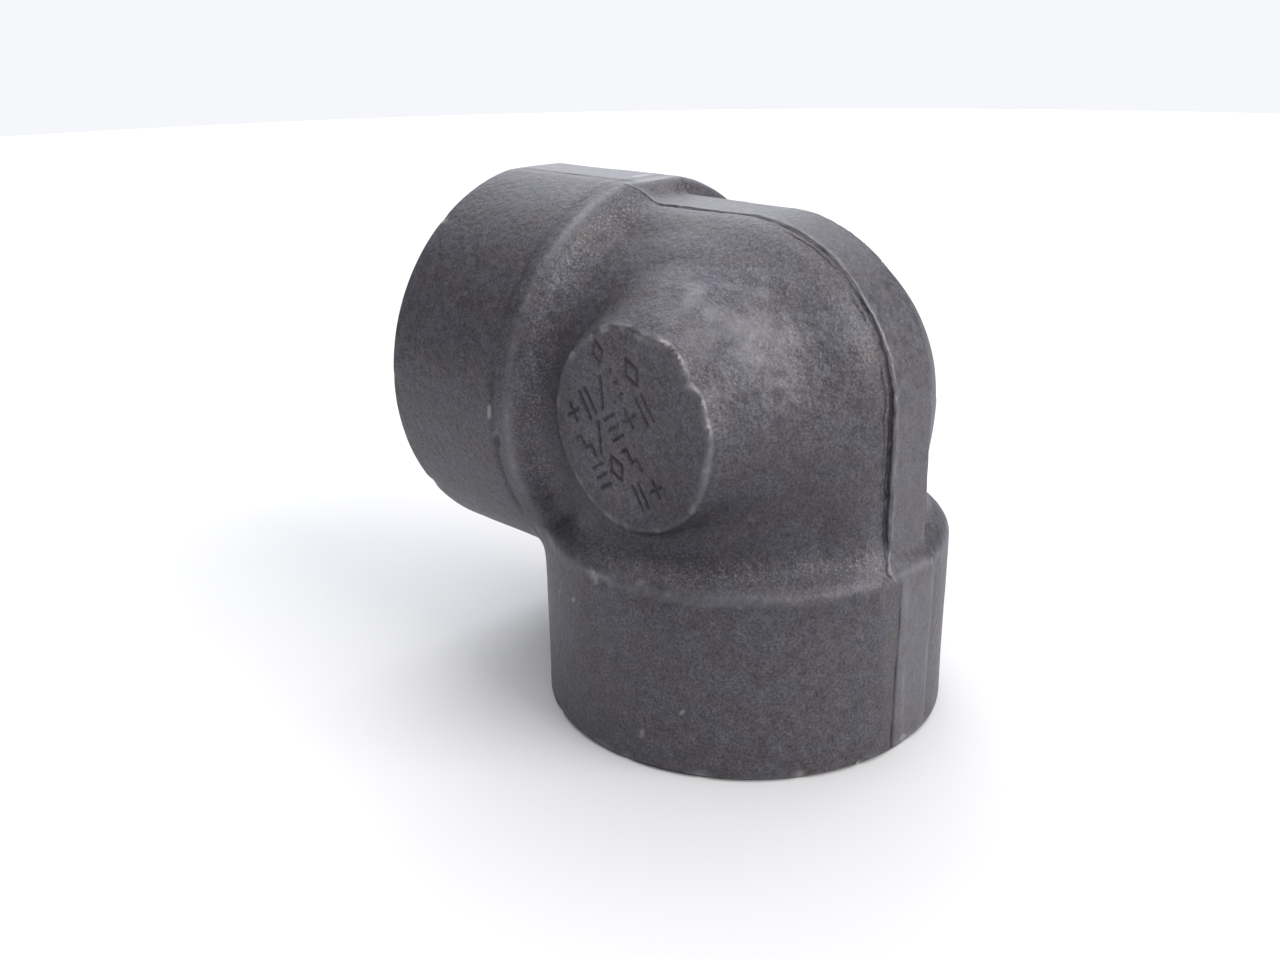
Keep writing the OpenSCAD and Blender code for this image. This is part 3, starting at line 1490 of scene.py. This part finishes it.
    def black_and_shade_share(self, points: np.ndarray) -> np.ndarray:
        """Where the skin is painted darker: black in the cracks, stamps and cut seams, and painted shade
        in the hollows, shoulder grooves, deep dents and at the foot of the pad's flank.

        Args:
            points: rows of x, y, z.

        Returns:
            How dark it is painted, to be held between 0 and 1.
        """
        dent, bare = self.dent_shares(points)
        cut_line, _ = self.band_seams(points)
        _, groove = self.shoulder_lines(points)
        root_shade = hump(distance_to(points, PAINTED_SHADE_ROOT), 0, PAINTED_SHADE_ROOT_REACH)
        black_and_shade = self.crack(points) + 0.65 * self.stamp(points) + cut_line
        # painted shade in the hollows and the shoulder grooves
        black_and_shade += 0.3 * self.painted_shade_share(points) + 0.6 * groove
        # painted shade at the foot of the pad's flank
        black_and_shade += 0.45 * root_shade * ramp(noise(points, 0.8, 52), -0.3, 0.5)
        # painted shade in the deep dents, where no bare metal shows
        return black_and_shade + 0.5 * ramp(dent, 0.1, 0.5) * (1 - bare)

    def painted_glint_share(self, points: np.ndarray) -> np.ndarray:
        """Where glints are painted: the shoulders' hollows and the bend between pad and heel.

        Args:
            points: rows of x, y, z.

        Returns:
            How strongly glints are painted, to be held between 0 and 1.
        """
        # painted glints on the bend's painted highlight and in the shoulders' hollows
        painted_glints = 0.9 * self.painted_sheen(points)
        for arm in Arm:
            along, radius = self.arm_coordinates(points, arm)
            painted_glints += hump(along, self.band_len + 2.4, 1.5) * ramp(-radius, -22.8, -21)
        return painted_glints * (0.35 + 0.65 * ramp(noise(points, 4.5, 51), -0.6, 0.6))

    def chipped_share(self, points: np.ndarray) -> np.ndarray:
        """Where bare metal shows: the chips and the pad's rim.

        Args:
            points: rows of x, y, z.

        Returns:
            How bare it is, to be held between 0 and 1.
        """
        _, bare = self.dent_shares(points)
        rim, _ = self.rim_share(points)
        return bare + 0.35 * rim * ramp(noise(points, 0.9, 53), 0.1, 0.5)

    def skin_attributes(self, obj: bpy.types.Object) -> None:
        """Stores where the skin is worn with painted highlights, black with painted shade, chipped, and
        painted with glints, for its finish.

        Args:
            obj: the forging.
        """
        points = coordinates(obj.data)
        for name, share in (
            ("wear_and_sheen", self.wear_and_sheen_share),
            ("black_and_shade", self.black_and_shade_share),
            ("chipped", self.chipped_share),
            ("painted_glints", self.painted_glint_share),
        ):
            store(obj.data, name, np.clip(share(points), 0, 1))

    def tool_attribute(self, obj: bpy.types.Object) -> None:
        """Stores how far the tool has fed along each turned face.

        Args:
            obj: the forging.
        """
        points = coordinates(obj.data)
        lower, lower_r = self.arm_coordinates(points, Arm.LOWER)
        upper, upper_r = self.arm_coordinates(points, Arm.UPPER)
        feed = np.where(lower < upper, lower + lower_r, upper + upper_r)
        store(obj.data, "tool_path", feed)

    def turned_faces(self, obj: bpy.types.Object) -> np.ndarray:
        """Says which faces the tools have cut, by their place.

        Args:
            obj: the forging.

        Returns:
            True for each face that a tool has cut.
        """
        middles = face_middles(obj.data)
        cut = np.zeros(len(middles), bool)
        for arm in Arm:
            along, radius = self.arm_coordinates(middles, arm)
            mouth = (along < 0.02) & (along > -0.02)
            bevel = np.abs((radius - self.band_r + self.outer_bevel) - along) < 0.03
            bevel &= along < self.outer_bevel + 0.4
            bore = radius < self.socket_r + self.mouth_bevel + 0.02
            bore = bore & (along < self.socket_depth + 0.02)
            water = (radius < self.water_r + 0.05) & (along < self.centre_to_end + self.water_r)
            cut |= mouth | bevel | (bore & (along > -0.05)) | (water & (along > -0.05))
        return cut

    def dress(self, skin: bpy.types.Material, turned: bpy.types.Material) -> None:
        """Gives the forging its two finishes and smooth shading.

        Args:
            skin: the finish of the forged skin.
            turned: the finish of the faces that are cut on the lathe.
        """
        for obj in self.objects:
            self.skin_attributes(obj)
            self.tool_attribute(obj)
            obj.data.materials.clear()
            obj.data.materials.append(skin)
            obj.data.materials.append(turned)
            cut = self.turned_faces(obj).astype(np.int32)
            obj.data.polygons.foreach_set("material_index", cut)
            obj.data.update()
            select_only(obj)
            bpy.ops.object.shade_smooth_by_angle(angle=math.radians(42))
            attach(obj, "root")
            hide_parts("elbow_body")
            triangles = sum(len(face.vertices) - 2 for face in obj.data.polygons)
            LOG.info("%s: %d triangles, %d turned faces", obj.name, triangles, int(cut.sum()))


# ---------------------------------------------------------------- the studio


@dataclass(frozen=True)
class SoftBox:
    """One square lamp: its name, place and side in millimetres, power and sRGB hex colour."""

    name: str
    place: Point
    size: float
    watts: float
    colour: str


SOFT_BOXES = (
    SoftBox("soft_box_top", (0, 0, 2000), 3000, 44.0, "ffffff"),
    SoftBox("soft_box_rear", (-750, 1250, 1500), 2000, 16.0, "f8faff"),
    SoftBox("soft_box_rear_left", (-1375, 875, 750), 1500, 9.0, "f4f8ff"),
    SoftBox("soft_box_right", (1620, 420, 1000), 1500, 34.0, "fffcf8"),
)


@dataclass
class Studio:
    """A round pale table top, a camera and soft light."""

    eye: Point = (90.76, -107.18, 77.49)
    yaw: float = 0.788
    pitch: float = 0.357
    roll: float = 0.017
    lens: float = 36.84
    floor_r: float = 800.0
    aim: Point = (0.0, 0.0, 35.0)
    air: str = "f6f7fb"
    air_fill: float = 0.34

    def camera(self) -> None:
        """Adds the camera at the viewing angle, level but for its slight roll."""
        ahead = Vector(
            (
                -math.sin(self.yaw) * math.cos(self.pitch),
                math.cos(self.yaw) * math.cos(self.pitch),
                -math.sin(self.pitch),
            )
        )
        level = Vector((math.cos(self.yaw), math.sin(self.yaw), 0))
        down = ahead.cross(level)
        right = level * math.cos(self.roll) + down * math.sin(self.roll)
        fall = down * math.cos(self.roll) - level * math.sin(self.roll)
        data = bpy.data.cameras.new("studio_camera")
        data.sensor_width = 36.0
        data.lens = self.lens
        data.clip_start = 0.005
        data.clip_end = 20.0
        camera = bpy.data.objects.new("studio_camera", data)
        turn = Matrix((right, -fall, -ahead)).transposed().to_4x4()
        camera.matrix_world = Matrix.Translation(Vector(self.eye) * MM) @ turn
        bpy.context.scene.collection.objects.link(camera)
        bpy.context.scene.camera = camera

    def floor(self, finish: bpy.types.Material) -> None:
        """Spins the floor from one profile.

        Args:
            finish: what the floor is painted with.
        """
        edge = self.floor_r
        profile = [(0.0, -8.0), (edge - 12, -8.0), (edge - 2, -2.0), (edge, 0.0), (0.0, 0.0)]
        floor = lathe("studio_floor", profile, (0, 0, -0.02), True, 96)
        floor.data.materials.append(finish)
        select_only(floor)
        bpy.ops.object.shade_smooth_by_angle(angle=math.radians(40))

    def lamp(self, box: SoftBox) -> None:
        """Hangs one soft box, aimed at the forging's middle.

        Args:
            box: the lamp to hang.
        """
        data = bpy.data.lights.new(box.name, "AREA")
        data.shape = "SQUARE"
        data.size = box.size * MM
        data.energy = box.watts
        data.color = linear(box.colour)[:3]
        lamp = bpy.data.objects.new(box.name, data)
        away = Vector(box.place) - Vector(self.aim)
        turn = away.to_track_quat("Z", "Y").to_matrix().to_4x4()
        lamp.matrix_world = Matrix.Translation(Vector(box.place) * MM) @ turn
        lamp.visible_camera = False
        bpy.context.scene.collection.objects.link(lamp)

    def light(self) -> None:
        """Hangs the soft boxes and sets the pale surroundings."""
        for box in SOFT_BOXES:
            self.lamp(box)
        world = bpy.data.worlds.new("studio_air")
        world.use_nodes = True
        tree = world.node_tree
        tree.nodes.clear()
        seen = add_node(tree, "ShaderNodeLightPath").outputs["Is Camera Ray"]
        fill_look = {"Color": linear(self.air), "Strength": self.air_fill}
        fill = add_node(tree, "ShaderNodeBackground", fill_look)
        wall = add_node(tree, "ShaderNodeBackground", {"Color": linear(self.air), "Strength": 1.0})
        both = add_node(
            tree, "ShaderNodeMixShader", links={0: seen, 1: fill.outputs[0], 2: wall.outputs[0]}
        )
        add_node(tree, "ShaderNodeOutputWorld", links={"Surface": both.outputs[0]})
        bpy.context.scene.world = world
        bpy.context.scene.view_settings.view_transform = "Standard"

    def build(self, finish: bpy.types.Material) -> None:
        """Sets up the camera, the floor and the light, in that order.

        Args:
            finish: the floor's material.
        """
        self.camera()
        self.floor(finish)
        self.light()
        LOG.info("studio: camera, floor and soft boxes")


# ---------------------------------------------------------------- putting it together


ROWS = (
    StampRow((-4.6, 6.0), 14.0, 2.4, 2.6, (Mark.DIAMOND,)),
    StampRow(
        (-8.1, -1.3),
        33.0,
        2.9,
        2.6,
        (Mark.PLUS, Mark.TWIN_BARS, Mark.SLASH, Mark.DOTS, Mark.DIAMOND),
    ),
    StampRow(
        (-6.3, -4.8),
        34.0,
        2.9,
        2.6,
        (Mark.STEPS, Mark.SLASH, Mark.RUNGS, Mark.PLUS, Mark.TWIN_BARS),
    ),
    StampRow((-4.0, -7.5), 33.0, 2.8, 2.6, (Mark.RUNGS, Mark.DIAMOND, Mark.STEPS)),
    StampRow((1.6, -8.3), 32.0, 2.6, 2.6, (Mark.TWIN_BARS, Mark.PLUS)),
)


DENTS = (
    Dent((-1.03, -22.9, 20.4), 0.4, 0.25, 0.45, (1.0, 0.0, -0.9)),
    Dent((0.4, -22.9, 20.0), 0.7, 0.3, 0.0, (0.6, 0.0, 0.0)),
    Dent((4.9, -22.0, 21.2), 0.45, -0.1, 0.2),
    Dent((6.3, -22.2, 20.6), 1.1, 0.22, 0.0),
    Dent((8.0, -21.8, 20.9), 0.4, 0.15, 0.4, (0.8, 0.3, -0.6)),
    Dent((-15.9, -22.7, 31.8), 0.45, 0.3, 0.0, (0.0, 0.0, 0.6)),
    Dent((-16.2, -22.8, 32.9), 0.25, 0.1, 0.4, (0.2, 0.0, 1.0)),
    Dent((-17.0, -22.9, 35.0), 0.3, 0.08, 0.6, (0.2, 0.0, 0.9)),
    Dent((18.8, -8.2, 40.8), 0.25, 0.16, 0.0, (0.5, 0.25, -1.5)),
    Dent((10.4, -13.2, 48.6), 0.16, 0.1, 0.0, (1.8, 0.2, -1.2)),
    Dent((9.1, -16.0, 47.4), 0.16, 0.1, 0.0, (1.9, -0.1, -1.4)),
    Dent((19.0, -12.9, 0.4), 0.7, 0.35, 0.5),
    Dent((21.9, -6.6, 0.3), 0.5, 0.4, 0.9),
    Dent((11.5, -19.9, 0.3), 0.8, 0.3, 0.2),
    Dent((3.0, -22.8, 0.4), 0.6, 0.3, 0.3),
    Dent((-9.5, -20.9, 0.4), 0.7, 0.3, 0.2),
    Dent((22.6, 0.5, 0.6), 0.6, 0.35, 0.6),
    Dent((-34.4, -22.6, 35.8), 0.6, 0.3, 0.3),
    Dent((-34.5, -14.0, 52.9), 0.7, 0.3, 0.4),
    Dent((-34.5, -18.4, 21.4), 0.8, 0.3, 0.3),
    Dent((-34.5, 9.0, 55.8), 0.7, 0.3, 0.3),
    Dent((-34.5, 20.0, 24.0), 0.7, 0.3, 0.3),
    Dent((2.5, 22.8, 0.5), 0.8, 0.35, 0.4),
    Dent((-22.6, 2.0, 8.0), 0.5, 0.2, 0.5, (0.0, 0.8, 1.4)),
    Dent((6.5, 22.1, 14.0), 0.3, 0.12, 0.7, (1.8, -0.3, 1.0)),
    Dent((-24.0, 21.0, 43.5), 0.3, 0.12, 0.7, (1.6, 0.0, 1.2)),
    Dent((-8.2, -21.4, 16.0), 0.25, 0.1, 0.5),
    Dent((-4.6, -22.5, 16.4), 0.22, 0.1, 0.6),
    Dent((5.0, -22.4, 4.0), 0.2, 0.08, 0.7, (0.0, 0.0, 0.8)),
    Dent((9.5, -20.9, 7.5), 0.2, 0.08, 0.6),
    Dent((-26.5, -22.0, 41.0), 0.2, 0.08, 0.7),
    Dent((-28.0, -22.5, 38.0), 0.2, 0.08, 0.6),
    Dent((-17.8, 1.8, 57.5), 0.6, 0.12, 0.5, (0.0, 1.5, 0.0)),
)


def forging_from_frame() -> ForgedElbow:
    """Reads the elbow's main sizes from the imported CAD.

    Returns:
        The forging, sized but not yet built.
    """
    low, high = (Vector(corner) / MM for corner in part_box("elbow_body"))
    bore = next(m for m in frame["record"]["mounts"] if m["name"] == "lower_socket")
    return ForgedElbow(
        centre_to_end=round(-low.x, 3),
        band_r=round(high.y, 3) - 0.06,
        socket_r=bore["dims"]["r_mm"],
        flat_reach=round(high.x, 3) - 0.06,
        dents=DENTS,
        rows=ROWS,
    )


def main() -> None:
    """Builds the studio and the forging, dresses it and logs each piece."""
    logging.basicConfig(level=logging.INFO, format="%(name)s %(message)s")
    studio = Studio()
    studio.build(PaintedBoard().material())
    elbow = forging_from_frame()
    elbow.build()
    elbow.dress(ForgedSkin().material(), TurnedSteel().material())


if __name__ == "__main__":
    main()
